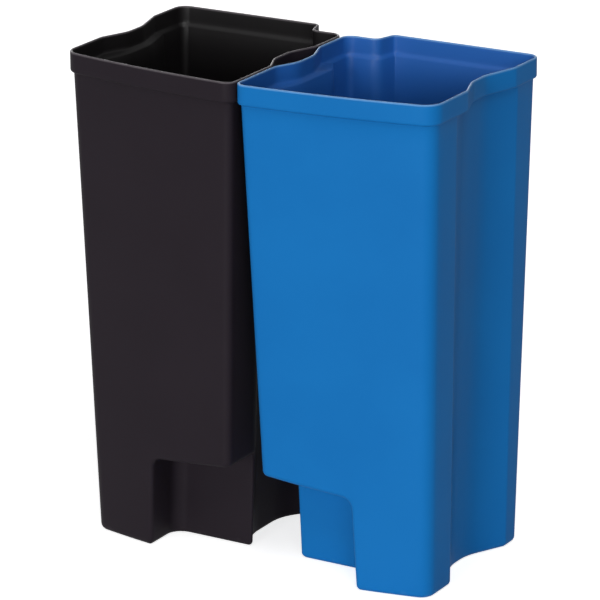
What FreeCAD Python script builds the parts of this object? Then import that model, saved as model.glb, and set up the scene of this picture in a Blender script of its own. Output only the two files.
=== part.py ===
import FreeCAD, Part
import math
import os
from FreeCAD import Vector

# A pair of open, thin-walled moulded bins that stand side by side.
# They mirror each other about the plane x = 0 between them.
# Frame: +X across the front, +Y towards the back, +Z up, millimetres.
# The origin is on the floor, under the middle of the pair.
# In the plans below, y is counted from the front of the rim and x from the plane between the bins.

# ---- driving dimensions -------------------------------------------------------------------------

HEIGHT = 690.0             # floor to lip
WIDTH = 283.0              # one bin across its rim
DEPTH = 325.0              # front to back across the rim
RIM_GAP = 3.0              # space between the two rims
WALL = 2.8                 # side walls
FLOOR = 3.2                # bottom
LIP = 3.4                  # wall at the rim band

BAND_HEIGHT = 29.0         # rim band, from its lower edge to the lip
BAND_STEP = 4.8            # how far the band stands out of the body
BAND_ROUND = 3.6           # rounding at the band's lower edge
LIP_ROUND = 1.0            # rounding of the lip
LEDGE_BELOW = 0.5          # the ledge inside starts this far below the band's lower edge
LEDGE_HEIGHT = 7.0         # and swings out to the band over this height
FOOT_ROUND = 7.5           # rounding round the floor, outside
FLOOR_ROUND = 6.0          # rounding round the floor, inside

FRONT_SLANT = 33.0         # the front wall falls back this far towards the outer side
FRONT_BOW = 4.8            # and bulges this far between its ends
FRONT_BOW_SHARE = 0.78     # share of the front wall that is curved

SHARED_DRAFT = 24.0        # how far each wall leans in from under the band down to the floor
OUTER_DRAFT = 15.0
FRONT_DRAFT = 16.0
BACK_DRAFT = 14.5

SHARED_FRONT_ROUND = 15.0  # vertical corners, before the wall is drafted
OUTER_FRONT_ROUND = 26.0
OUTER_BACK_ROUND = 18.0
SHARED_BACK_ROUND = 17.0

BACK_STEP = 31.5           # the back wall stands forward by this much beside the shared side
BACK_STEP_START = 49.5     # where the ramp of that step begins and ends, across the bin
BACK_STEP_END = 58.5
BACK_STEP_ROUND = 9.0

# The full-height channel in each side wall, as the places where it starts, reaches its bottom,
# leaves it and ends, its depth, and the roundings at those four places. It is narrower in the rim
# band than in the body just under it, and deepest at the floor.
SHARED_CHANNEL_BAND = (104.0, 138.0, 178.0, 220.0, 15.4, 22.0, 48.0, 48.0, 22.0)
SHARED_CHANNEL_TOP = (88.0, 131.0, 215.0, 243.0, 16.5, 14.0, 90.0, 30.0, 14.0)
SHARED_CHANNEL_FLOOR = (91.0, 129.0, 211.0, 247.0, 29.5, 14.0, 70.0, 60.0, 14.0)
OUTER_CHANNEL_BAND = (121.0, 163.0, 198.0, 253.0, 15.7, 22.0, 48.0, 48.0, 22.0)
OUTER_CHANNEL_TOP = (100.0, 152.0, 205.0, 266.0, 17.5, 12.0, 110.0, 90.0, 16.0)
OUTER_CHANNEL_FLOOR = (113.0, 164.0, 211.0, 269.0, 28.8, 12.0, 70.0, 70.0, 16.0)

NOTCH_WIDTH = 156.5        # notch at the lower front, from the plane between the bins
NOTCH_DRAFT = 6.0          # and this much wider at the floor
NOTCH_DEPTH = 98.0         # from the rim's front to the wall at the back of the notch
NOTCH_HEIGHT = 130.0       # at the notch's outer wall
NOTCH_RISE = 17.0          # the ceiling climbs by this much towards the shared side
NOTCH_INNER_ROUND = 18.0   # upright corner at the back of the notch
NOTCH_TOP_ROUND = 13.0     # where the notch's outer wall meets its ceiling

# ---- values worked out from them ----------------------------------------------------------------

BODY_TOP = HEIGHT - BAND_HEIGHT
SHARED_RIM = RIM_GAP / 2
OUTER_RIM = SHARED_RIM + WIDTH
OVERRUN = 60.0             # how far cutting blocks reach past the bin


# ---- plans: lists of corners (x, y, rounding), anticlockwise from the shared front corner -------

def between(rim_value, floor_value, depth_share):
    """A value part of the way from the rim, 0, to the floor, 1."""
    return rim_value + (floor_value - rim_value) * depth_share


def channel(top, floor, band, depth_share, band_share):
    """The channel's measures at one height, part of the way to those in the rim band."""
    body = [between(a, b, depth_share) for a, b in zip(top, floor)]
    return [between(a, b, band_share) for a, b in zip(body, band)]


def plan(z, band_share=0.0):
    """Corners of the outer face at height z, as wide as the rim band.
    The channels are the body's where band_share is 0 and the rim band's where it is 1."""
    share = (BODY_TOP - min(z, BODY_TOP)) / BODY_TOP
    left = SHARED_RIM + SHARED_DRAFT * share
    right = OUTER_RIM - OUTER_DRAFT * share
    front = FRONT_DRAFT * share
    back = DEPTH - BACK_DRAFT * share
    middle = (left + right) / 2
    half_front = (right - left) / 2
    bow_turn = 4 * FRONT_BOW / half_front
    bow_radius = FRONT_BOW_SHARE * half_front / math.tan(bow_turn / 2)
    s1, s2, s3, s4, s_depth, s_front, s_down, s_up, s_back = channel(
        SHARED_CHANNEL_TOP, SHARED_CHANNEL_FLOOR, SHARED_CHANNEL_BAND, share, band_share)
    o1, o2, o3, o4, o_depth, o_front, o_down, o_up, o_back = channel(
        OUTER_CHANNEL_TOP, OUTER_CHANNEL_FLOOR, OUTER_CHANNEL_BAND, share, band_share)
    return [
        (left, front, SHARED_FRONT_ROUND),
        (middle, front + FRONT_SLANT / 2 - 2 * FRONT_BOW, bow_radius),
        (right, front + FRONT_SLANT, OUTER_FRONT_ROUND),
        (right, o1, o_front),
        (right - o_depth, o2, o_down),
        (right - o_depth, o3, o_up),
        (right, o4, o_back),
        (right, back, OUTER_BACK_ROUND),
        (BACK_STEP_END, back, BACK_STEP_ROUND),
        (BACK_STEP_START, back - BACK_STEP, BACK_STEP_ROUND),
        (left, back - BACK_STEP, SHARED_BACK_ROUND),
        (left, s4, s_back),
        (left + s_depth, s3, s_up),
        (left + s_depth, s2, s_down),
        (left, s1, s_front),
    ]


def unit(a, b):
    """Unit vector from a to b, and the distance."""
    dx, dy = b[0] - a[0], b[1] - a[1]
    length = math.hypot(dx, dy)
    return dx / length, dy / length, length


def inset(corners, distance):
    """Move every wall of a plan inwards, and adjust each rounding to stay parallel."""
    count = len(corners)
    result = []
    for i, (x, y, radius) in enumerate(corners):
        ax, ay, _ = unit(corners[i - 1], corners[i])
        bx, by, _ = unit(corners[i], corners[(i + 1) % count])
        turn = ax * by - ay * bx
        along = (1 - (ax * bx + ay * by)) / turn
        new_x = x - distance * (ay + along * ax)
        new_y = y + distance * (ax - along * ay)
        new_radius = radius - distance if turn > 0 else radius + distance
        result.append((new_x, new_y, max(new_radius, 0.6)))
    return result


def wire(corners, z):
    """Closed wire at height z: straight walls joined by tangent arcs."""
    count = len(corners)
    arcs = []
    for i, (x, y, radius) in enumerate(corners):
        ax, ay, _ = unit(corners[i - 1], corners[i])
        bx, by, _ = unit(corners[i], corners[(i + 1) % count])
        half_turn = math.acos(max(-1.0, min(1.0, ax * bx + ay * by))) / 2
        reach = radius * math.tan(half_turn)
        start = Vector(x - ax * reach, y - ay * reach - DEPTH / 2, z)
        end = Vector(x + bx * reach, y + by * reach - DEPTH / 2, z)
        corner = Vector(x, y - DEPTH / 2, z)
        inward = ((start + end) * 0.5 - corner).normalize()
        crown = corner + inward * (radius / math.cos(half_turn) - radius)
        arcs.append((start, crown, end))
    edges = []
    for i, (start, crown, end) in enumerate(arcs):
        edges.append(Part.Arc(start, crown, end).toShape())
        edges.append(Part.LineSegment(end, arcs[(i + 1) % count][0]).toShape())
    return Part.Wire(edges)


def loft(sections):
    """Closed solid through (corners, z) sections, straight between them."""
    solid = Part.makeLoft([wire(corners, z) for corners, z in sections], True, True)
    if solid.Volume < 0:
        solid.reverse()
    return solid


# ---- one bin ------------------------------------------------------------------------------------

def quarter_round(radius):
    """(inset, height) steps of a quarter round from flat to upright."""
    steps = (0.0, math.pi / 6, math.pi / 3, math.pi / 2)
    return [(radius * (1 - math.sin(a)), radius * (1 - math.cos(a))) for a in steps]


def outer_block():
    """The bin's outside as a full block."""
    rim = plan(HEIGHT, 1.0)
    sections = []
    for step_in, z in quarter_round(FOOT_ROUND):
        sections.append((inset(plan(z), BAND_STEP + step_in), z))
    sections.append((inset(plan(BODY_TOP), BAND_STEP), BODY_TOP))
    for step_in, rise in quarter_round(BAND_ROUND)[1:]:
        sections.append((inset(rim, step_in), BODY_TOP + rise))
    sections.append((rim, HEIGHT - LIP_ROUND))
    sections.append((inset(rim, LIP_ROUND), HEIGHT))
    return loft(sections)


def cavity_block():
    """The space inside the bin as a full block that runs out above the lip."""
    rim = plan(HEIGHT, 1.0)
    sections = []
    for step_in, rise in quarter_round(FLOOR_ROUND):
        z = FLOOR + rise
        sections.append((inset(plan(z), BAND_STEP + WALL + step_in), z))
    for share in (0.0, 0.25, 0.75, 1.0):
        z = BODY_TOP - LEDGE_BELOW + LEDGE_HEIGHT * share
        swing = share * share * (3 - 2 * share)
        sections.append((inset(plan(z, swing), between(BAND_STEP + WALL, LIP, swing)), z))
    sections.append((inset(rim, LIP), HEIGHT - LIP_ROUND))
    sections.append((inset(rim, LIP - LIP_ROUND), HEIGHT))
    sections.append((inset(rim, LIP - LIP_ROUND), HEIGHT + OVERRUN))
    return loft(sections)


def notch_plan(z, grow):
    """Closed wire round the notch at height z, open to the front and to the shared side."""
    right = NOTCH_WIDTH + NOTCH_DRAFT * (1 - z / NOTCH_HEIGHT) + grow
    back = NOTCH_DEPTH + grow - DEPTH / 2
    front = -OVERRUN - DEPTH / 2
    round_in = NOTCH_INNER_ROUND + grow
    spots = [Vector(-OVERRUN, front, z),
             Vector(right, front, z),
             Vector(right, back - round_in, z),
             Vector(right - round_in, back, z),
             Vector(-OVERRUN, back, z)]
    diagonal = round_in * (1 - math.sqrt(0.5))
    crown = Vector(right - diagonal, back - diagonal, z)
    edges = [Part.LineSegment(spots[0], spots[1]).toShape(),
             Part.LineSegment(spots[1], spots[2]).toShape(),
             Part.Arc(spots[2], crown, spots[3]).toShape(),
             Part.LineSegment(spots[3], spots[4]).toShape(),
             Part.LineSegment(spots[4], spots[0]).toShape()]
    return Part.Wire(edges)


def notch_block(grow):
    """The block that makes the notch, grown on its inner faces by a wall's thickness."""
    low, high = -OVERRUN, NOTCH_HEIGHT + OVERRUN
    height = high - low
    drafted = Vector(-NOTCH_DRAFT / NOTCH_HEIGHT * height, 0, height)
    upright = Part.Face(notch_plan(low, grow)).extrude(drafted)

    right = NOTCH_WIDTH + grow
    front = -OVERRUN - DEPTH / 2
    rise = math.atan2(NOTCH_RISE, NOTCH_WIDTH)
    lean = math.atan2(NOTCH_DRAFT, NOTCH_HEIGHT)
    top_right = NOTCH_HEIGHT + grow / math.cos(rise) + grow * math.tan(rise)
    top_left = top_right + (right + OVERRUN) * math.tan(rise)
    right -= NOTCH_DRAFT * (top_right / NOTCH_HEIGHT - 1)
    low_right = right + (top_right - low) * math.tan(lean)

    radius = NOTCH_TOP_ROUND + grow
    half_turn = (math.pi / 2 - rise + lean) / 2
    reach = radius * math.tan(half_turn)
    corner = Vector(right, front, top_right)
    start = corner + Vector(math.sin(lean), 0, -math.cos(lean)) * reach
    end = corner + Vector(-math.cos(rise), 0, math.sin(rise)) * reach
    inward = ((start + end) * 0.5 - corner).normalize()
    crown = corner + inward * (radius / math.cos(half_turn) - radius)
    under_left, under_right = Vector(-OVERRUN, front, low), Vector(low_right, front, low)
    over_left = Vector(-OVERRUN, front, top_left)
    edges = [Part.LineSegment(under_left, under_right).toShape(),
             Part.LineSegment(under_right, start).toShape(),
             Part.Arc(start, crown, end).toShape(),
             Part.LineSegment(end, over_left).toShape(),
             Part.LineSegment(over_left, under_left).toShape()]
    level = Part.Face(Part.Wire(edges)).extrude(Vector(0, DEPTH, 0))
    return upright.common(level)


def right_hand_bin():
    """The bin on the +X side."""
    outside = outer_block().cut(notch_block(0.0))
    inside = cavity_block().cut(notch_block(WALL))
    return outside.cut(inside)


# ---- the pair -----------------------------------------------------------------------------------

def report(name, shape):
    """Print what was made."""
    box = shape.BoundBox
    print(f"{name}: {len(shape.Solids)} solid, valid {shape.isValid()}, "
          f"{shape.Volume / 1000:.0f} cm3, {len(shape.Faces)} faces, "
          f"x {box.XMin:.1f}..{box.XMax:.1f}, y {box.YMin:.1f}..{box.YMax:.1f}, "
          f"z {box.ZMin:.1f}..{box.ZMax:.1f}")


def main():
    os.makedirs("parts", exist_ok=True)
    blue_bin = right_hand_bin().Solids[0]
    black_bin = blue_bin.mirror(Vector(0, 0, 0), Vector(1, 0, 0))
    for name, shape in (("blue_bin", blue_bin), ("black_bin", black_bin)):
        report(name, shape)
        shape.exportStep(f"parts/{name}.step")
    inside = cavity_block().cut(notch_block(WALL))
    up_to_the_lip = Part.makeBox(2 * WIDTH, 2 * DEPTH, HEIGHT, Vector(-WIDTH / 2, -DEPTH, 0))
    below_rim = inside.common(up_to_the_lip)
    print(f"room inside one bin: {below_rim.Volume / 1e6:.1f} litres")


main()
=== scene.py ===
# %% [markdown]
# # A pair of recycling bins
#
# Two rigid inner bins stand side by side, a black one and a blue one, each the mirror image of the
# other. Each is one thin-walled moulding: a drafted box with a finger channel down each side, a
# step in its back, a notch low at the front, and a band round the rim. This lesson builds one such
# moulding as a single clean mesh, mirrors it, and gives each bin its own matte plastic.
#
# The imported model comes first. It is the frame that everything else is set in, so every size
# below is either read from it or is a size of the moulding itself.

# %% The frame
import bmesh
import bpy
import cmath
import math
import numpy as np
from mathutils import Matrix, Vector, noise


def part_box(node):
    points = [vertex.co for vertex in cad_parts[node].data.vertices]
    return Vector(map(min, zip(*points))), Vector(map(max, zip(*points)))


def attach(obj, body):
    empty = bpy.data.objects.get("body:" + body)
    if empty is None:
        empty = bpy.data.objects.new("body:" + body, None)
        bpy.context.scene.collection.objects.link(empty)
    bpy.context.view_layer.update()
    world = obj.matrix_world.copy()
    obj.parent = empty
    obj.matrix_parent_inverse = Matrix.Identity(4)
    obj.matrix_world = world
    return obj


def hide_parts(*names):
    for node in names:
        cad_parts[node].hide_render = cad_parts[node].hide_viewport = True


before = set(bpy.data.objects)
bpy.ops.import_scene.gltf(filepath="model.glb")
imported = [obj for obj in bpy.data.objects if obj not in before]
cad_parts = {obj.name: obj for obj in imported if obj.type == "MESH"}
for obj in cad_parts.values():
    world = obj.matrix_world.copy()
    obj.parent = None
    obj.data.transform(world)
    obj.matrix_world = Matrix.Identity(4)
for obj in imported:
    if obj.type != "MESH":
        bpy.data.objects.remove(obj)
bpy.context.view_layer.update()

# %% [markdown]
# The mesh is worked out in millimetres, because a moulding's sizes are easiest to read that way,
# and turned into metres once, when the mesh is made. The blue bin's box gives the plane between
# the bins, the outer rim, the depth and the height.

# %% Sizes that the frame gives
MM = 0.001
lowest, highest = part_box("blue_bin")
SHARED_RIM = lowest[0] / MM
OUTER_RIM = highest[0] / MM
HALF_DEPTH = highest[1] / MM
DEPTH = 2 * HALF_DEPTH
HEIGHT = highest[2] / MM
print(f"one bin: {OUTER_RIM - SHARED_RIM:.1f} x {DEPTH:.1f} x {HEIGHT:.1f} mm")

# %% [markdown]
# ## The camera
#
# The photograph was taken with a long lens from the right and a little above. A camera like that
# keeps upright edges almost parallel. Its place is given by an azimuth, an elevation and a
# distance from a point on the object, because those are what a photographer would change. Azimuth
# counts from straight ahead of the bins towards their right. The small roll is that of the
# photograph. The lamps further down are placed by the same two angles.

# %% Camera
CAMERA_AZIMUTH = 30.99
CAMERA_ELEVATION = 18.36
CAMERA_ROLL = -0.52
CAMERA_DISTANCE = 5.4436
CAMERA_SEES_TO = 60.0
AIM_HEIGHT = 0.345
AIM_RIGHT = 0.00268
AIM_UP = 0.0019
SENSOR = 36.0
LENS = 240.2


def direction(azimuth, elevation):
    """The direction from the bins towards a place given by two angles in degrees."""
    azimuth, elevation = math.radians(azimuth), math.radians(elevation)
    return Vector((math.sin(azimuth) * math.cos(elevation),
                   -math.cos(azimuth) * math.cos(elevation),
                   math.sin(elevation)))


back = direction(CAMERA_AZIMUTH, CAMERA_ELEVATION)
right = direction(CAMERA_AZIMUTH + 90, 0)
up = back.cross(right)
turn_about_view = Matrix.Rotation(math.radians(CAMERA_ROLL), 3, back)
facing = Matrix((turn_about_view @ right, turn_about_view @ up, back)).transposed()

camera = bpy.data.objects.new("camera", bpy.data.cameras.new("camera"))
bpy.context.scene.collection.objects.link(camera)
camera.data.sensor_width = SENSOR
camera.data.lens = LENS
camera.data.clip_end = CAMERA_SEES_TO
aim = Vector((0, 0, AIM_HEIGHT)) + right * AIM_RIGHT + up * AIM_UP
camera.matrix_world = Matrix.Translation(aim + back * CAMERA_DISTANCE) @ facing.to_4x4()
bpy.context.scene.camera = camera
print("camera at", [round(v, 3) for v in camera.matrix_world.translation])

# %% [markdown]
# ## The plan of the moulding
#
# Seen from above, the wall is a closed line of straight runs joined by arcs, and each of its
# measures drifts steadily from the rim to the floor. That drift is the draft that lets the
# moulding leave its tool, and it also deepens the finger channels towards the floor. The plan is
# kept as a short list of corners with a rounding each, so a wall at any height is a formula and
# not a stored curve. Here x counts from the plane between the bins and y from the rim's front.

# %% Measures of the moulding
WALL = 2.8
FLOOR = 3.2
LIP = 3.4
BAND_HEIGHT = 29.0
BAND_STEP = 4.8
BODY_TOP = HEIGHT - BAND_HEIGHT

FRONT_SLANT = 33.0
FRONT_BOW = 4.8
FRONT_BOW_SHARE = 0.78
SHARED_DRAFT = 24.0
OUTER_DRAFT = 15.0
FRONT_DRAFT = 16.0
BACK_DRAFT = 14.5

SHARED_FRONT_ROUND = 15.0
OUTER_FRONT_ROUND = 26.0
OUTER_BACK_ROUND = 18.0
SHARED_BACK_ROUND = 17.0
BACK_STEP = 31.5
BACK_STEP_START = 49.5
BACK_STEP_END = 58.5
BACK_STEP_ROUND = 9.0

# A channel starts, reaches its bottom, leaves it and ends at the first four places, is this deep,
# and has these roundings at the four places.
SHARED_CHANNEL_BAND = (104.0, 138.0, 178.0, 220.0, 15.4, 22.0, 48.0, 48.0, 22.0)
SHARED_CHANNEL_TOP = (88.0, 131.0, 215.0, 243.0, 16.5, 14.0, 90.0, 30.0, 14.0)
SHARED_CHANNEL_FLOOR = (91.0, 129.0, 211.0, 247.0, 29.5, 14.0, 70.0, 60.0, 14.0)
OUTER_CHANNEL_BAND = (121.0, 163.0, 198.0, 253.0, 15.7, 22.0, 48.0, 48.0, 22.0)
OUTER_CHANNEL_TOP = (100.0, 152.0, 205.0, 266.0, 17.5, 12.0, 110.0, 90.0, 16.0)
OUTER_CHANNEL_FLOOR = (113.0, 164.0, 211.0, 269.0, 28.8, 12.0, 70.0, 70.0, 16.0)


def between(rim_value, floor_value, share):
    """A value part of the way from the rim, 0, to the floor, 1."""
    return rim_value + (floor_value - rim_value) * share


def channel(top, floor, band, share, band_share):
    """The channel's measures at one height, part of the way to those in the rim band."""
    body = [between(a, b, share) for a, b in zip(top, floor)]
    return [between(a, b, band_share) for a, b in zip(body, band)]


def wall_plan(z, band_share=0.0):
    """Corners (place, rounding) at height z, anticlockwise from the front wall's bow.
    The channels are the body's where band_share is 0 and the rim band's where it is 1."""
    share = (BODY_TOP - min(z, BODY_TOP)) / BODY_TOP
    left = SHARED_RIM + SHARED_DRAFT * share
    right_side = OUTER_RIM - OUTER_DRAFT * share
    front = FRONT_DRAFT * share
    rear = DEPTH - BACK_DRAFT * share
    middle = (left + right_side) / 2
    half_front = (right_side - left) / 2
    # The front wall bows out as one wide arc round a corner twice the bow ahead of its slant.
    bow_radius = FRONT_BOW_SHARE * half_front / math.tan(2 * FRONT_BOW / half_front)
    s1, s2, s3, s4, s_depth, s_front, s_down, s_up, s_back = channel(
        SHARED_CHANNEL_TOP, SHARED_CHANNEL_FLOOR, SHARED_CHANNEL_BAND, share, band_share)
    o1, o2, o3, o4, o_depth, o_front, o_down, o_up, o_back = channel(
        OUTER_CHANNEL_TOP, OUTER_CHANNEL_FLOOR, OUTER_CHANNEL_BAND, share, band_share)
    return [
        (complex(middle, front + FRONT_SLANT / 2 - 2 * FRONT_BOW), bow_radius),
        (complex(right_side, front + FRONT_SLANT), OUTER_FRONT_ROUND),
        (complex(right_side, o1), o_front),
        (complex(right_side - o_depth, o2), o_down),
        (complex(right_side - o_depth, o3), o_up),
        (complex(right_side, o4), o_back),
        (complex(right_side, rear), OUTER_BACK_ROUND),
        (complex(BACK_STEP_END, rear), BACK_STEP_ROUND),
        (complex(BACK_STEP_START, rear - BACK_STEP), BACK_STEP_ROUND),
        (complex(left, rear - BACK_STEP), SHARED_BACK_ROUND),
        (complex(left, s4), s_back),
        (complex(left + s_depth, s3), s_up),
        (complex(left + s_depth, s2), s_down),
        (complex(left, s1), s_front),
        (complex(left, front), SHARED_FRONT_ROUND),
    ]


# The corners are known by their place in that list.
OUTER_FRONT, SHARED_BOTTOM, SHARED_FRONT = 1, 12, 14
CORNERS = len(wall_plan(0))
print("corners in the plan:", CORNERS)

# %% [markdown]
# Complex numbers hold the plan's points here, because turning a direction by a quarter is then
# just a product with 1j. `outline` moves every wall inwards by the same distance, which is how the
# inside of the wall, the floor's rounding and the rim's step are all made from the one plan. A
# rounding shrinks where the wall turns one way and grows where it turns the other, so the wall
# keeps its thickness through each corner.

# %% The rounded outline
ARC_STEPS = 16
LEAST_ROUND = 0.6


def heading(a, b):
    """Direction from a to b."""
    return (b - a) / abs(b - a)


def quarter_turn(steps):
    """Angles from nothing to a quarter turn."""
    return np.linspace(0, math.pi / 2, steps + 1)


def outline(z, step_in, band_share=0.0):
    """Dense points of the wall at height z, moved in by step_in, and the length up to each.
    The bow's points come again at the end, so that the front wall is whole there too."""
    corners = wall_plan(z, band_share)
    count = len(corners)
    moved = []
    for i, (place, radius) in enumerate(corners):
        behind = heading(corners[i - 1][0], place)
        ahead = heading(place, corners[(i + 1) % count][0])
        turn = cmath.phase(ahead / behind)
        miter = 1j * (behind + ahead) / (1 + math.cos(turn))
        new_radius = radius - math.copysign(step_in, turn)
        moved.append((place + step_in * miter, max(new_radius, LEAST_ROUND), behind, turn))
    runs = []
    for i in range(count + 1):
        place, radius, behind, turn = moved[i % count]
        start = place - behind * radius * math.tan(abs(turn) / 2)
        swing = np.linspace(0, abs(turn), ARC_STEPS + 1)
        side = math.copysign(1, turn) * 1j
        runs.append(start + radius * behind * (np.sin(swing) + side * (1 - np.cos(swing))))
    points = np.concatenate(runs)
    along = np.concatenate([[0.0], np.cumsum(abs(np.diff(points)))])
    return points, along


def arc_start(corner):
    """Index of the first dense point of a corner's arc."""
    return corner * (ARC_STEPS + 1)


def arc_end(corner):
    """Index of the last dense point of a corner's arc."""
    return arc_start(corner) + ARC_STEPS


# Where the front wall and the shared wall are among the dense points.
FRONT_WALL = slice(arc_start(0), arc_start(OUTER_FRONT) + 1)
SHARED_WALL = slice(arc_start(SHARED_BOTTOM), arc_start(SHARED_FRONT) + 1)

_, rim_along = outline(HEIGHT, 0.0, 1.0)
print(f"way round the rim: {rim_along[arc_start(CORNERS)]:.0f} mm")

# %% [markdown]
# ## The notch
#
# Low at the front, beside the plane between the bins, each moulding is cut back. The two notches
# together clear whatever stands in front of the pair, such as a pedal. The notch has an outer
# wall, an upright round corner, a rear wall, and a ceiling that climbs a little towards the shared
# side. Moulded plastic has no sharp edges, so the edges of the opening are rounded too.
#
# A boolean cut would leave ragged triangles at those edges, which a glossy finish shows at once.
# The mesh is planned around the notch instead: the wall's columns stop at a narrow border strip
# that follows the opening's edge, and the notch's own surface is a second small grid inside it.

# %% Measures of the notch
NOTCH_WIDTH = 156.5
NOTCH_DRAFT = 6.0
NOTCH_DEPTH = 98.0
NOTCH_HEIGHT = 130.0
NOTCH_RISE = 17.0
NOTCH_INNER_ROUND = 18.0
NOTCH_TOP_ROUND = 13.0
NOTCH_EDGE_ROUND = 6.5
BORDER = 10.0
SLOPE = NOTCH_RISE / NOTCH_WIDTH
CEILING_LEAN = math.hypot(1, SLOPE)
LIFT_STARTS = 15.0
LIFT_ENDS = 270.0
LIFT_DIES_AFTER = 90.0


def notch_side(height):
    """Place of the notch's outer wall, which leans out towards the floor."""
    return NOTCH_WIDTH + NOTCH_DRAFT * max(0.0, 1 - height / NOTCH_HEIGHT)


def smooth(value):
    """0 below 0, 1 above 1, and a soft swing between them."""
    value = np.clip(value, 0.0, 1.0)
    return value * value * (3 - 2 * value)


def lift(x, y, height):
    """How far the ceiling's slope raises a point whose level height is given."""
    below = smooth((height - LIFT_STARTS) / (NOTCH_HEIGHT - NOTCH_TOP_ROUND - LIFT_STARTS))
    over = NOTCH_HEIGHT + BORDER + 2 * WALL
    above = 1 - smooth((height - over) / (LIFT_ENDS - over))
    sideways = 1 - smooth((y - NOTCH_DEPTH - 2 * BORDER) / LIFT_DIES_AFTER)
    return SLOPE * np.maximum(0.0, NOTCH_WIDTH - x) * below * above * sideways


print(f"the ceiling climbs {lift(0.0, 0.0, NOTCH_HEIGHT):.1f} mm")

# %% [markdown]
# Every ring of the mesh has the same columns. They are set out between the ends of the arcs, so a
# column that follows a corner at the rim follows the same corner at the floor, and the shading
# runs cleanly down the wall. The count for each stretch is chosen by how much the wall turns
# there.

# %% Columns of the wall
FILLET_RINGS = 4
FILLET_COLUMNS = 4
REGULAR_STRETCHES = (9, 9, 3, 5, 2, 6, 2, 6, 2, 5, 3, 8, 8, 4, 3, 4, 3, 7, 4, 5, 2, 6, 2, 9)
OVER_NOTCH_STRETCHES = (FILLET_COLUMNS, 8, 6, 13, FILLET_COLUMNS)
LAST_REGULAR = sum(REGULAR_STRETCHES)
COLUMNS = LAST_REGULAR + sum(OVER_NOTCH_STRETCHES)


def length_at_x(points, along, x):
    """Length up to the point of the front wall at x."""
    return np.interp(x, points.real[FRONT_WALL], along[FRONT_WALL])


def length_at_y(points, along, y):
    """Length up to the point of the shared wall at y."""
    return np.interp(-y, -points.imag[SHARED_WALL], along[SHARED_WALL])


def columns(height, step_in, band_share=0.0):
    """One plan point for each column, at one height, step_in from the body's outer face."""
    points, along = outline(height, BAND_STEP + step_in, band_share)
    thick = max(step_in, 0.0)
    once_round = along[arc_start(CORNERS)]
    beside_notch = notch_side(height) + thick + BORDER
    keys = [length_at_x(points, along, beside_notch), along[arc_start(OUTER_FRONT)]]
    for corner in range(OUTER_FRONT, SHARED_BOTTOM):
        keys += [along[arc_end(corner)], along[arc_start(corner + 1)]]
    keys.append(length_at_y(points, along, NOTCH_DEPTH + thick + BORDER))
    keys.append(length_at_y(points, along, NOTCH_DEPTH - NOTCH_TOP_ROUND))
    keys += [along[arc_start(SHARED_FRONT)], along[arc_end(SHARED_FRONT)]]
    keys.append(length_at_x(points, along, notch_side(height) - NOTCH_TOP_ROUND) + once_round)
    keys.append(keys[0] + once_round)
    stations = []
    for first, last, steps in zip(keys, keys[1:], REGULAR_STRETCHES + OVER_NOTCH_STRETCHES):
        stations.append(np.linspace(first, last, steps, endpoint=False))
    stations = np.concatenate(stations)
    return np.interp(stations, along, points.real) + 1j * np.interp(stations, along, points.imag)


# How far up the wall's draft is read, to move a raised point along it.
LEVEL_STEP = 20.0


def wall_ring(height, step_in, band_share=0.0):
    """A ring of the wall as (x, y, z) rows, raised where the notch's slope raises it."""
    low = columns(height, step_in, band_share)
    high = columns(height + LEVEL_STEP, step_in, band_share)
    raised = lift(low.real, low.imag, height)
    plan = low + (high - low) * raised / LEVEL_STEP
    return np.column_stack([plan.real, plan.imag, height + raised])


print("columns in a ring:", COLUMNS)

# %% [markdown]
# ## Building one face of the wall
#
# A small class collects points and faces. Its one real job is `bridge`, which joins two rows of
# points with four-sided faces, so the rest of the code can think in rows.

# %% Sheet of faces


class Sheet:
    """Points and faces of a mesh while it is being made."""

    def __init__(self):
        self.points = []
        self.faces = []

    def add(self, rows):
        """Adds points and returns their numbers."""
        first = len(self.points)
        self.points.extend(tuple(row) for row in rows)
        return list(range(first, len(self.points)))

    def bridge(self, lower, upper, closed=False):
        """Faces between two rows of point numbers of the same length."""
        count = len(lower)
        for i in range(count if closed else count - 1):
            j = (i + 1) % count
            corners = []
            for number in (lower[i], lower[j], upper[j], upper[i]):
                if number not in corners:
                    corners.append(number)
            if len(corners) > 2:
                self.faces.append(corners)

    def cap(self, ring):
        """One flat face over a closed row."""
        self.faces.append(list(ring))


# %% [markdown]
# The notch's surface is made of rows that run from its front edge, along the outer wall, round the
# upright corner and along the rear wall to its other edge. Going up, the rows first stay level and
# then curl over into the ceiling. Each row has as many points as there are columns over the
# notch's ceiling, which lets the last row be joined straight to the ceiling's front edge.

# %% Rows of the notch
FILLET_ROWS = FILLET_RINGS + FILLET_COLUMNS + 1
INNER_POINTS = sum(OVER_NOTCH_STRETCHES[1:-1]) - 1
CORNER_POINTS = 7
OUTER_WALL_POINTS = 7
REAR_WALL_POINTS = INNER_POINTS - CORNER_POINTS - OUTER_WALL_POINTS


def front_y(x, z, step_in):
    """Place of the front wall at x and height z."""
    points, _ = outline(z, BAND_STEP + step_in)
    return np.interp(x, points.real[FRONT_WALL], points.imag[FRONT_WALL])


def shared_x(y, z, step_in):
    """Place of the shared wall at y and height z."""
    points, _ = outline(z, BAND_STEP + step_in)
    return np.interp(-y, -points.imag[SHARED_WALL], points.real[SHARED_WALL])


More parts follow.
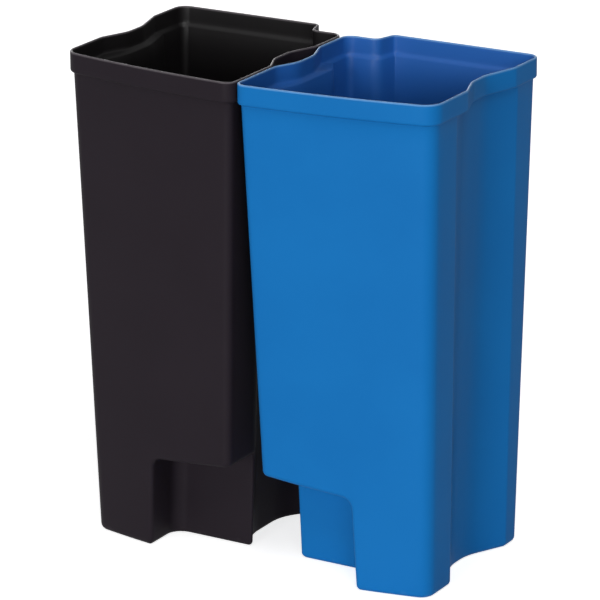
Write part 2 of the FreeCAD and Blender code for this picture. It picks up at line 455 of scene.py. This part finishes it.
def notch_row(height, step_in, curl, edge_round):
    """Points between the two edges of the notch, from the outer wall to the rear wall."""
    wall_x = notch_side(height) + step_in - curl
    wall_y = NOTCH_DEPTH + step_in - curl
    radius = NOTCH_INNER_ROUND + step_in - curl
    near = front_y(wall_x, height, step_in) + edge_round
    far = shared_x(wall_y, height, step_in) + edge_round
    straight = np.linspace(near, wall_y - radius, OUTER_WALL_POINTS + 2)[1:-1]
    swing = quarter_turn(CORNER_POINTS - 1)
    rear = np.linspace(wall_x - radius, far, REAR_WALL_POINTS + 2)[1:-1]
    x = np.concatenate([np.full(len(straight), wall_x),
                        wall_x - radius + radius * np.cos(swing), rear])
    y = np.concatenate([straight, wall_y - radius + radius * np.sin(swing),
                        np.full(len(rear), wall_y)])
    return np.column_stack([x, y, height + lift(x, y, height)])


print("points along a notch row:", INNER_POINTS)

# %% [markdown]
# The border strip rounds the edge of the opening. For each of its points there are three places:
# the sharp edge itself, a point on the wall one rounding away from it, and a point in the notch
# one rounding away. A quarter ellipse through the last two, drawn towards the first, is tangent to
# both surfaces, and it stays so where they don't meet at a right angle.

# %% Border of the notch
EDGE_STEPS = 5
STRIP_STEPS = 2
LEAST_EDGE_ROUND = 0.4


def edge_round_at(step_in):
    """The opening's rounding, smaller on the inner face by the wall's thickness."""
    return max(NOTCH_EDGE_ROUND - step_in, LEAST_EDGE_ROUND)


def upright_edge(on_front, height, step_in, curl, swing):
    """(sharp, on the wall, in the notch) for one point of an upright edge. swing is 0 on the
    straight part and grows to a quarter turn where the edge reaches the ceiling."""
    r = edge_round_at(step_in)
    reach = step_in - curl
    if on_front:
        x = notch_side(height) + reach
        y = front_y(x, height, step_in)
    else:
        y = NOTCH_DEPTH + reach
        x = shared_x(y, height, step_in)
    z = height + lift(x, y, height)
    away = r * math.cos(swing)
    raised = z + r * math.sin(swing)
    if on_front:
        sharp = (x, front_y(x, z, step_in), z)
        on_wall = (x + away, front_y(x + away, raised, step_in), raised)
        inside = (x, sharp[1] + r, z)
    else:
        sharp = (shared_x(y, z, step_in), y, z)
        on_wall = (shared_x(y + away, raised, step_in), y + away, raised)
        slope_here = (z - height) / max(NOTCH_WIDTH - sharp[0], 1.0)
        inside = (sharp[0] + r, y, z - r * slope_here)
    return sharp, on_wall, inside


def ceiling_edge(height, step_in):
    """The same three places for each column over the ceiling's front edge, shared side first."""
    r = edge_round_at(step_in)
    ring = wall_ring(height, step_in)
    higher = wall_ring(height + r, step_in)
    plan = ring[:, 0] + 1j * ring[:, 1]
    headings = np.roll(plan, -1) - np.roll(plan, 1)
    inward = plan + r * 1j * headings / abs(headings)
    picked = range(LAST_REGULAR + FILLET_COLUMNS + 1, COLUMNS - FILLET_COLUMNS)
    places = []
    for j in picked:
        x, y = inward[j].real, inward[j].imag
        places.append((tuple(ring[j]), tuple(higher[j]), (x, y, height + lift(x, y, height))))
    return places


def rounded_edge(sharp, on_wall, inside):
    """Points of the rounding, from the wall to the notch."""
    sharp, on_wall, inside = (np.array(v) for v in (sharp, on_wall, inside))
    swing = quarter_turn(EDGE_STEPS)[:, None]
    bend = np.sin(swing) + np.cos(swing) - 1
    return on_wall * (1 - np.sin(swing)) + inside * (1 - np.cos(swing)) + sharp * bend


print("roundings:", edge_round_at(0.0), "outside,", edge_round_at(WALL), "inside")

# %% [markdown]
# `skin` puts these together for either face of the wall. It takes the few rows that round the
# wall into the floor, each as a distance in and a height, and the finished rings above the notch.
# The outside and the inside of a moulding are the same shape a wall's thickness apart, so both
# come from the same function.

# %% One skin of the moulding
WALL_ROWS = 8
SURFACE_ROWS = 6


def border_strip(sheet, outside, edges):
    """Adds the strip between the wall's columns and the notch, with the rounding of the opening.
    Its rows run from the lower front end, over the ceiling, to the lower rear end."""
    strip = [outside]
    for k in range(1, STRIP_STEPS):
        share = k / STRIP_STEPS
        points = []
        for number, (_, on_wall, _) in zip(outside, edges):
            far = np.array(sheet.points[number])
            points.append(far + (np.array(on_wall) - far) * share)
        strip.append(sheet.add(points))
    rounded = np.array([rounded_edge(*edge) for edge in edges])
    for k in range(EDGE_STEPS + 1):
        strip.append(sheet.add(rounded[:, k]))
    for row, inner in zip(strip, strip[1:]):
        sheet.bridge(row, inner)
    return strip


def notch_surface(sheet, rows, opening):
    """Adds the notch's walls between the two upright sides of its opening, and then its ceiling.
    Returns the lowest row of the walls."""
    grid = []
    for i, (height, step_in, curl, _) in enumerate(rows):
        middle = sheet.add(notch_row(height, step_in, curl, edge_round_at(step_in)))
        grid.append([opening[i]] + middle + [opening[-1 - i]])
    for row, above in zip(grid, grid[1:]):
        sheet.bridge(row, above)

    last = len(rows) - 1
    front_row = opening[last:len(opening) - last]
    before = grid[-1]
    for k in range(1, SURFACE_ROWS):
        share = k / SURFACE_ROWS
        points = []
        for a, b in zip(grid[-1][1:-1], front_row[1:-1]):
            low, high = np.array(sheet.points[a]), np.array(sheet.points[b])
            points.append(low + (high - low) * share)
        row = [front_row[0]] + sheet.add(points) + [front_row[-1]]
        sheet.bridge(before, row)
        before = row
    sheet.bridge(before, front_row)
    return grid[0]


def skin(sheet, thick, floor_rows, upper_rings):
    """Adds the outer or the inner face of one bin, and returns the top ring's point numbers."""
    ceiling = NOTCH_HEIGHT + thick * CEILING_LEAN
    curl_radius = NOTCH_TOP_ROUND + thick
    curl_starts = ceiling - curl_radius
    first_height = floor_rows[-1][1]
    heights = np.linspace(first_height, curl_starts, WALL_ROWS + 1)[1:]
    level_rows = list(floor_rows) + [(thick, z) for z in heights]
    fillet_rings = np.linspace(curl_starts, ceiling + BORDER, FILLET_RINGS + 2)[1:-1]

    lower = []
    for step_in, z in level_rows + [(thick, z) for z in fillet_rings]:
        lower.append(sheet.add(wall_ring(z, step_in)[:LAST_REGULAR + 1]))
    upper = [sheet.add(wall_ring(ceiling + BORDER, thick))]
    for ring in upper_rings:
        upper.append(sheet.add(ring))
    for row, above in zip(lower, lower[1:]):
        sheet.bridge(row, above)
    sheet.bridge(lower[-1], upper[0][:LAST_REGULAR + 1])
    for ring, above in zip(upper, upper[1:]):
        sheet.bridge(ring, above, closed=True)

    # Rows of the notch, as (height, distance in, curl towards the ceiling, swing of the edge).
    rows = [(z, step_in, 0.0, 0.0) for step_in, z in level_rows]
    for k in range(1, FILLET_ROWS + 1):
        swing = math.pi / 2 * k / FILLET_ROWS
        rows.append((curl_starts + curl_radius * math.sin(swing), thick,
                     curl_radius * (1 - math.cos(swing)), swing))

    # The opening's two sides are upright, and its middle runs along the ceiling.
    front_edge = [upright_edge(True, *row) for row in rows]
    rear_edge = [upright_edge(False, *row) for row in rows]
    across = ceiling_edge(ceiling, thick)[::-1]
    edges = front_edge + across + rear_edge[::-1]
    outside = [row[0] for row in lower] + [upper[0][0]]
    outside += upper[0][LAST_REGULAR + 1:][::-1]
    outside += [upper[0][LAST_REGULAR]] + [row[-1] for row in lower][::-1]
    assert len(edges) == len(outside)
    strip = border_strip(sheet, outside, edges)
    notch_foot = notch_surface(sheet, rows, strip[-1])

    # The floor is one flat face inside the lowest row.
    start = [row[0] for row in strip]
    end = [row[-1] for row in strip]
    sheet.cap(lower[0] + end[1:-1] + notch_foot[::-1] + start[1:-1][::-1])
    return upper[-1]


# %% [markdown]
# ## From the floor to the lip
#
# Both skins start with a quarter round at the floor. Outside, the body ends under the rim band in
# a small shoulder; inside, a soft ledge follows it. The lip is a half round that joins the two.

# %% Profiles of the wall
FOOT_ROUND = 7.5
FLOOR_ROUND = 6.0
ROUND_STEPS = 5
BAND_ROUND = 3.6
HOLLOW_ROUND = 1.2
HOLLOW_STEPS = 3
UNDERSIDE_RISE = 0.15
LEDGE_BELOW = 0.5
LEDGE_HEIGHT = 7.0
LEDGE_RINGS = 8
LIP_STEPS = 6
BAND_RINGS = 5
LOWER_WALL_RINGS = 8
UPPER_WALL_RINGS = 14
WIDER_SPACED_ABOVE = 300.0


def steps_after(start, end, count):
    """Evenly spaced values from start to end, without the start."""
    return np.linspace(start, end, count + 1)[1:]


def quarter_round(radius):
    """(distance in, height) from flat to upright."""
    swing = quarter_turn(ROUND_STEPS)
    return list(zip(radius * (1 - np.sin(swing)), radius * (1 - np.cos(swing))))


def wall_heights(start, end):
    """Heights up the wall, close together over the notch and further apart above it."""
    near = steps_after(start, WIDER_SPACED_ABOVE, LOWER_WALL_RINGS)
    far = steps_after(WIDER_SPACED_ABOVE, end, UPPER_WALL_RINGS)
    return list(near) + list(far)


foot_rows = quarter_round(FOOT_ROUND)
sole_rows = [(WALL + step_in, FLOOR + z) for step_in, z in quarter_round(FLOOR_ROUND)]
over_notch = NOTCH_HEIGHT + BORDER
lip_centre = HEIGHT - LIP / 2

# Each ring of a profile is (distance in, height, share of the way to the band's channels).
hollow_start = BODY_TOP - HOLLOW_ROUND
outer_profile = [(0.0, z, 0.0) for z in wall_heights(over_notch, hollow_start)]
for swing in quarter_turn(HOLLOW_STEPS)[1:]:
    step = HOLLOW_ROUND * (1 - math.cos(swing))
    outer_profile.append((-step, hollow_start + HOLLOW_ROUND * math.sin(swing), 0.0))
for step_in, rise in quarter_round(BAND_ROUND):
    outer_profile.append((step_in - BAND_STEP, BODY_TOP + UNDERSIDE_RISE + rise, 1.0))
band_starts = outer_profile[-1][1]
for z in steps_after(band_starts, lip_centre, BAND_RINGS):
    outer_profile.append((-BAND_STEP, z, 1.0))
for swing in quarter_turn(LIP_STEPS)[1:]:
    outer_profile.append((LIP / 2 * (1 - math.cos(swing)) - BAND_STEP,
                          lip_centre + LIP / 2 * math.sin(swing), 1.0))

ledge_start = BODY_TOP - LEDGE_BELOW
inner_profile = [(WALL, z, 0.0) for z in wall_heights(over_notch + WALL, ledge_start)]
for share in steps_after(0, 1, LEDGE_RINGS):
    swung = float(smooth(share))
    step = WALL + (LIP - BAND_STEP - WALL) * swung
    inner_profile.append((step, ledge_start + LEDGE_HEIGHT * share, swung))
for z in steps_after(ledge_start + LEDGE_HEIGHT, lip_centre, BAND_RINGS):
    inner_profile.append((LIP - BAND_STEP, z, 1.0))
for swing in quarter_turn(LIP_STEPS)[1:-1]:
    inner_profile.append((LIP / 2 * (1 + math.cos(swing)) - BAND_STEP,
                          lip_centre + LIP / 2 * math.sin(swing), 1.0))
print("rings outside:", len(outer_profile), "inside:", len(inner_profile))

# %% [markdown]
# Large thin walls never come out of the mould perfectly flat. They draw in and out by a few tenths
# of a millimetre as they cool, and that is what makes a reflection on them waver. The walls here
# get the same slow unevenness. It is zero at the floor and at the rim, and equal on both faces, so
# the thickness of the wall doesn't change.

# %% One bin's mesh
WARP = 0.45
WARP_SIZE = 210.0
WARP_SLOWER_UP = 0.45
STILL_BELOW = 160.0
STILL_ABOVE = 640.0
WARP_FADE = 120.0
NOISE_SEED = 1
# Where in the noise each bin's walls are, so that the two differ.
BLUE_SHIFT = 0.0
BLACK_SHIFT = 500.0

# Without a seed the noise starts from the clock, and differs in every run.
noise.seed_set(NOISE_SEED)


def warped(point, noise_shift):
    """A point of the wall moved a little, by slow noise."""
    x, y, z = point
    from_below = smooth((z - STILL_BELOW) / WARP_FADE)
    from_above = smooth((STILL_ABOVE - z) / WARP_FADE)
    amount = WARP * float(from_below * from_above)
    place = Vector((x + noise_shift, y, z * WARP_SLOWER_UP)) / WARP_SIZE
    move = noise.noise_vector(place) * amount
    return x + move.x, y + move.y, z


def profile_rings(profile):
    """The rings of a profile, in place on the wall."""
    return [wall_ring(z, step, share) for step, z, share in profile]


def moulding(name, side, noise_shift):
    """One bin as a mesh object, with side 1 right of the plane between the bins and -1 left."""
    sheet = Sheet()
    outer_top = skin(sheet, 0.0, foot_rows, profile_rings(outer_profile))
    outer_count = len(sheet.points)
    inner_top = skin(sheet, WALL, sole_rows, profile_rings(inner_profile))
    sheet.bridge(outer_top, inner_top, closed=True)
    places = []
    for point in sheet.points:
        x, y, z = warped(point, noise_shift)
        places.append((side * x * MM, (y - HALF_DEPTH) * MM, z * MM))
    mesh = bpy.data.meshes.new(name)
    mesh.from_pydata(places, [], sheet.faces)
    work = bmesh.new()
    work.from_mesh(mesh)
    bmesh.ops.recalc_face_normals(work, faces=work.faces)
    open_edges = sum(1 for edge in work.edges if not edge.is_manifold)
    work.to_mesh(mesh)
    work.free()
    mesh.shade_smooth()
    # The plastic reads this mark, 1 on the inner face and 0 on the outer one: it gives the inner
    # face a glossy coat and a darker colour as painted shade.
    inside = mesh.attributes.new("inside", "FLOAT", "POINT")
    inside.data.foreach_set("value", [float(i >= outer_count) for i in range(len(sheet.points))])
    piece = bpy.data.objects.new(name, mesh)
    bpy.context.scene.collection.objects.link(piece)
    print(f"{name}: {len(mesh.vertices)} points, {len(mesh.polygons)} faces,",
          f"{open_edges} open edges")
    return piece


blue_moulding = moulding("blue_moulding", 1, BLUE_SHIFT)
black_moulding = moulding("black_moulding", -1, BLACK_SHIFT)

# %% [markdown]
# ## A few words for node graphs
#
# A material's nodes are easier to follow as formulas. `Field` wraps one output of a node, and
# adding or multiplying fields adds the Math nodes. Noise, ramps and blends have a word each. Every
# other node comes from `make`, which sets the node's own settings first and then its sockets, to a
# value or to a link.

# %% Fields


class Field:
    """A value or colour that varies over a surface: one output of one node."""

    def __init__(self, tree, socket=None):
        self.tree = tree
        self.socket = socket

    def make(self, kind, settings, inputs, output=None):
        """Adds a node and returns one of its outputs."""
        node = self.tree.nodes.new(kind)
        for name, value in settings.items():
            setattr(node, name, value)
        for name, value in inputs.items():
            target = next(s for s in node.inputs if s.enabled and name in (s.name, s.identifier))
            if isinstance(value, Field):
                self.tree.links.new(value.socket, target)
            else:
                target.default_value = value
        shown = [s for s in node.outputs if s.enabled and output in (None, s.name)]
        return Field(self.tree, shown[0] if shown else None)

    def math(self, operation, first, second):
        """One Math node."""
        return self.make("ShaderNodeMath", {"operation": operation},
                         {"Value": first, "Value_001": second})

    def __add__(self, other):
        return self.math("ADD", self, other)

    def __radd__(self, other):
        return self.math("ADD", other, self)

    def __sub__(self, other):
        return self.math("SUBTRACT", self, other)

    def __rsub__(self, other):
        return self.math("SUBTRACT", other, self)

    def __mul__(self, other):
        return self.math("MULTIPLY", self, other)

    def __rmul__(self, other):
        return self.math("MULTIPLY", other, self)

    def larger(self, other):
        """The larger of two fields."""
        return self.math("MAXIMUM", self, other)

    def clouds(self, scale, detail, roughness=0.5):
        """Noise at the places that this field holds, from 0 to 1."""
        return self.make("ShaderNodeTexNoise", {},
                         {"Vector": self, "Scale": scale, "Detail": detail,
                          "Roughness": roughness}, "Fac")

    def ramp(self, low, high):
        """0 where this field is low, 1 where it is high, and smooth between."""
        return self.make("ShaderNodeMapRange", {"interpolation_type": "SMOOTHSTEP"},
                         {"Value": self, "From Min": low, "From Max": high}, "Result")

    def blend(self, first, second):
        """A colour, first where this field is 0 and second where it is 1."""
        return self.make("ShaderNodeMix", {"data_type": "RGBA"},
                         {"Factor_Float": self, "A_Color": first, "B_Color": second}, "Result")


def empty_tree(owner):
    """The node tree of a material or a world, emptied."""
    owner.use_nodes = True
    owner.node_tree.nodes.clear()
    return Field(owner.node_tree)


# %% [markdown]
# ## Matte moulded plastic
#
# Both bins are polypropylene-like plastic with its colour mixed in. The half of the mould that
# makes the outside is finely blasted, so the plastic there has a grain of about half a millimetre
# that spreads every highlight into a soft sheen. Close up it isn't even: the sheen wanders a
# little where the melt flowed, and faint upright drag marks run the way the moulding left the
# tool. Handling polishes the lip, and the lip's pale top is partly wear and partly a painted
# highlight of the light from above. The half that makes the inside is smoother, which gives small
# glints in the corners and along the ledge. Its darker colour there is painted shade, standing
# for the shade that falls into the open tops.
#
# The grain and the drag marks are bumps. Apart from the painted shade inside, the pale lip and the
# scuffed foot, the colour of each face changes only by a few percent. A reflection level below the
# usual one stands for what the blasted surface scatters, and a thin coat, guided by the mesh's own
# mark of what is inside, gives the smoother half its gloss.

# %% Plastic
# Sizes and heights are in metres from here on, as in the scene itself.
GRAIN_SIZE = 0.0006
GRAIN_DEPTH = 0.00003
GRAIN_ROUGHNESS = 0.6
RIPPLE_SIZE = 0.012
RIPPLE_DEPTH = 0.00006
DRAG_WIDTH = 0.0016
DRAG_LENGTH = 0.06
DRAG_IN_GRAIN = 0.35
FLOW_SCALE = 7.0
FLOW_RANGE = (0.3, 0.7)
FINE_DETAIL = 2.0
FLOW_DETAIL = 3.0

PLASTIC_IOR = 1.49
REFLECTION = 0.08
LEAST_ROUGHNESS = 0.38
FLOW_ROUGHNESS = 0.10
DRAG_ROUGHNESS = 0.06
LIP_POLISH = 0.10
INSIDE_GLOSS = 0.6
LIP_GLOSS = 0.1
GLOSS_ROUGHNESS = 0.42

LIP_WEAR_AND_HIGHLIGHT_HEIGHTS = (HEIGHT * MM - 0.0030, HEIGHT * MM - 0.0002)
LIP_WEAR_AND_HIGHLIGHT_PATCHES = 0.6
LIP_PALE_WEAR_AND_HIGHLIGHT = 0.8
SCUFF_HEIGHTS = (0.001, 0.012)
SCUFF_PATCHES = (0.5, 0.7)
SCUFF_PALENESS = 0.12


def moulded_plastic(name, colour, flow_colour, painted_shade_colour, worn_and_highlight_colour):
    """A matte plastic: painted shade inside, a lip pale from wear and a painted highlight."""
    material = bpy.data.materials.new(name)
    nodes = empty_tree(material)
    place = nodes.make("ShaderNodeTexCoord", {}, {}, "Object")
    height = nodes.make("ShaderNodeSeparateXYZ", {}, {"Vector": place}, "Z")
    inside = nodes.make("ShaderNodeAttribute", {"attribute_name": "inside"}, {}, "Fac")

    grain = place.clouds(1 / GRAIN_SIZE, FINE_DETAIL, GRAIN_ROUGHNESS)
    ripple = place.clouds(1 / RIPPLE_SIZE, FINE_DETAIL)
    flow = place.clouds(FLOW_SCALE, FLOW_DETAIL)
    drag_scale = (1 / DRAG_WIDTH, 1 / DRAG_WIDTH, 1 / DRAG_LENGTH)
    stretched = nodes.make("ShaderNodeMapping", {}, {"Vector": place, "Scale": drag_scale})
    drag = stretched.clouds(1.0, FINE_DETAIL)

    # The lip's top is paled partly as wear and partly as a painted highlight; the same mask
    # polishes it.
    lip_patches = LIP_WEAR_AND_HIGHLIGHT_PATCHES + LIP_WEAR_AND_HIGHLIGHT_PATCHES * ripple
    lip_wear_and_highlight = height.ramp(*LIP_WEAR_AND_HIGHLIGHT_HEIGHTS) * lip_patches
    foot_scuff = (1 - height.ramp(*SCUFF_HEIGHTS)) * ripple.ramp(*SCUFF_PATCHES)
    # Pale lip, partly wear and partly a painted highlight, and pale scuffed foot, which is wear.
    pale_wear_and_highlight = (LIP_PALE_WEAR_AND_HIGHLIGHT * lip_wear_and_highlight).larger(SCUFF_PALENESS * foot_scuff)
    gloss = (INSIDE_GLOSS * inside).larger(LIP_GLOSS * lip_wear_and_highlight)
    colours = flow.ramp(*FLOW_RANGE).blend(colour, flow_colour)
    # Painted shade: the inner face takes a darker colour.
    colours = inside.blend(colours, painted_shade_colour)
    colours = pale_wear_and_highlight.blend(colours, worn_and_highlight_colour)
    sheen = LEAST_ROUGHNESS + FLOW_ROUGHNESS * flow + DRAG_ROUGHNESS * drag - LIP_POLISH * lip_wear_and_highlight

    bumps = nodes.make("ShaderNodeBump", {},
                       {"Height": ripple, "Strength": 1.0, "Distance": RIPPLE_DEPTH})
    bumps = nodes.make("ShaderNodeBump", {},
                       {"Height": grain + DRAG_IN_GRAIN * drag, "Strength": 1.0,
                        "Distance": GRAIN_DEPTH, "Normal": bumps})
    surface = nodes.make("ShaderNodeBsdfPrincipled", {},
                         {"Base Color": colours, "Roughness": sheen, "Normal": bumps,
                          "Specular IOR Level": REFLECTION, "IOR": PLASTIC_IOR,
                          "Coat Weight": gloss, "Coat Roughness": GLOSS_ROUGHNESS})
    nodes.make("ShaderNodeOutputMaterial", {}, {"Surface": surface})
    return material


BLUE = (0.0060, 0.157, 0.466, 1.0)
BLUE_FLOW = (0.0068, 0.167, 0.486, 1.0)
# Painted shade of the inner face: a darker, deeper blue.
BLUE_PAINTED_SHADE = (0.0170, 0.120, 0.440, 1.0)
# Pale colour of the lip, partly wear and partly a painted highlight, and of the scuffed foot.
BLUE_WORN_AND_HIGHLIGHT = (0.20, 0.42, 0.74, 1.0)
BLACK = (0.0188, 0.0144, 0.0192, 1.0)
BLACK_FLOW = (0.0204, 0.0156, 0.0208, 1.0)
# Painted shade of the inner face: a darker black.
BLACK_PAINTED_SHADE = (0.0062, 0.0054, 0.0060, 1.0)
# Pale colour of the lip, partly wear and partly a painted highlight, and of the scuffed foot.
BLACK_WORN_AND_HIGHLIGHT = (0.150, 0.135, 0.148, 1.0)
blue_plastic = moulded_plastic("blue_plastic", BLUE, BLUE_FLOW, BLUE_PAINTED_SHADE, BLUE_WORN_AND_HIGHLIGHT)
black_plastic = moulded_plastic("black_plastic", BLACK, BLACK_FLOW, BLACK_PAINTED_SHADE, BLACK_WORN_AND_HIGHLIGHT)
blue_moulding.data.materials.append(blue_plastic)
black_moulding.data.materials.append(black_plastic)
print("materials:", blue_plastic.name, black_plastic.name)

# %% [markdown]
# ## Floor and light
#
# The bins stand on a wide white floor. It reaches far enough that the camera sees nothing else,
# and it keeps their shadow. It glows a little where the camera sees it, so that it reads as white
# without more lamps on the bins. In a reflection the floor and the surroundings have a quarter of
# that glow, because matte plastic beside a brighter floor would take on a milky veil.

# %% Floor
FLOOR_SIZE = 30.0
FLOOR_WHITE = (0.80, 0.80, 0.80, 1.0)
FLOOR_GLOW = 0.76
WHITE = (1.0, 1.0, 1.0, 1.0)
MIRRORED_SHARE = 0.25


def backdrop_strength(nodes):
    """1 for what the camera sees, also through something clear, less in a reflection, else 0."""
    seen = nodes.make("ShaderNodeLightPath", {}, {}, "Is Camera Ray")
    mirrored = nodes.make("ShaderNodeLightPath", {}, {}, "Is Glossy Ray")
    through = nodes.make("ShaderNodeLightPath", {}, {}, "Is Transmission Ray")
    return seen.larger(MIRRORED_SHARE * mirrored).larger(through)


floor_mesh = bpy.data.meshes.new("floor")
half = FLOOR_SIZE / 2
floor_mesh.from_pydata([(-half, -half, 0), (half, -half, 0), (half, half, 0), (-half, half, 0)],
                       [], [(0, 1, 2, 3)])
floor = bpy.data.objects.new("floor", floor_mesh)
bpy.context.scene.collection.objects.link(floor)

paper = bpy.data.materials.new("white_floor")
nodes = empty_tree(paper)
matt = nodes.make("ShaderNodeBsdfDiffuse", {}, {"Color": FLOOR_WHITE})
glow = nodes.make("ShaderNodeEmission", {},
                  {"Color": WHITE, "Strength": FLOOR_GLOW * backdrop_strength(nodes)})
both = nodes.make("ShaderNodeAddShader", {}, {"Shader": matt, "Shader_001": glow})
nodes.make("ShaderNodeOutputMaterial", {}, {"Surface": both})
floor_mesh.materials.append(paper)
print("floor:", FLOOR_SIZE, "m")

# %% [markdown]
# The light is that of a plain studio. The strongest lamp stands ahead of the bins and low, with a
# weak one to its right. They light the outside but barely reach over the rim, so the open tops
# stay dark inside as in the photograph, the more so for the painted shade of the inner face. A
# third, a little higher, draws the glints in the inner corners. Two high lamps pick out the lips
# and ledges, and a low one behind the bins keeps their backs from going dark. Sun lamps are used,
# each with a wide disc for softness, because they light a floor of any size evenly. Only the
# direction of a sun lamp matters, so how far off it hangs is just for whoever opens the file.

# %% Light
SURROUND = 0.01
# Azimuth and elevation in degrees, strength, and the lamp's width in degrees.
LAMPS = {
    "front_lamp": (4, 8, 1.60, 20),
    "right_lamp": (35, 8, 0.16, 20),
    "middle_right_lamp": (42, 16, 0.42, 16),
    "high_left_lamp": (-25, 60, 0.36, 28),
    "high_right_lamp": (48, 54, 0.80, 28),
    "back_lamp": (222, 9, 1.30, 50),
}
LAMP_DISTANCE = 3.0

world = bpy.data.worlds.new("studio")
bpy.context.scene.world = world
nodes = empty_tree(world)
surround = nodes.make("ShaderNodeBackground", {},
                      {"Color": WHITE, "Strength": backdrop_strength(nodes).larger(SURROUND)})
nodes.make("ShaderNodeOutputWorld", {}, {"Surface": surround})


def add_lamp(name, azimuth, elevation, strength, width):
    """Adds a soft lamp that shines towards the bins from an azimuth and an elevation."""
    light = bpy.data.lights.new(name, "SUN")
    light.energy = strength
    light.angle = math.radians(width)
    holder = bpy.data.objects.new(name, light)
    bpy.context.scene.collection.objects.link(holder)
    towards = direction(azimuth, elevation)
    holder.location = towards * LAMP_DISTANCE
    holder.rotation_mode = "QUATERNION"
    holder.rotation_quaternion = towards.to_track_quat("Z", "Y")


for name, settings in LAMPS.items():
    add_lamp(name, *settings)
bpy.context.scene.view_settings.view_transform = "Standard"
print("lamps:", ", ".join(LAMPS))

for piece, node, slot in ((blue_moulding, "blue_bin", "blue_plastic"),
                          (black_moulding, "black_bin", "black_plastic")):
    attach(piece, node)
    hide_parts(node)
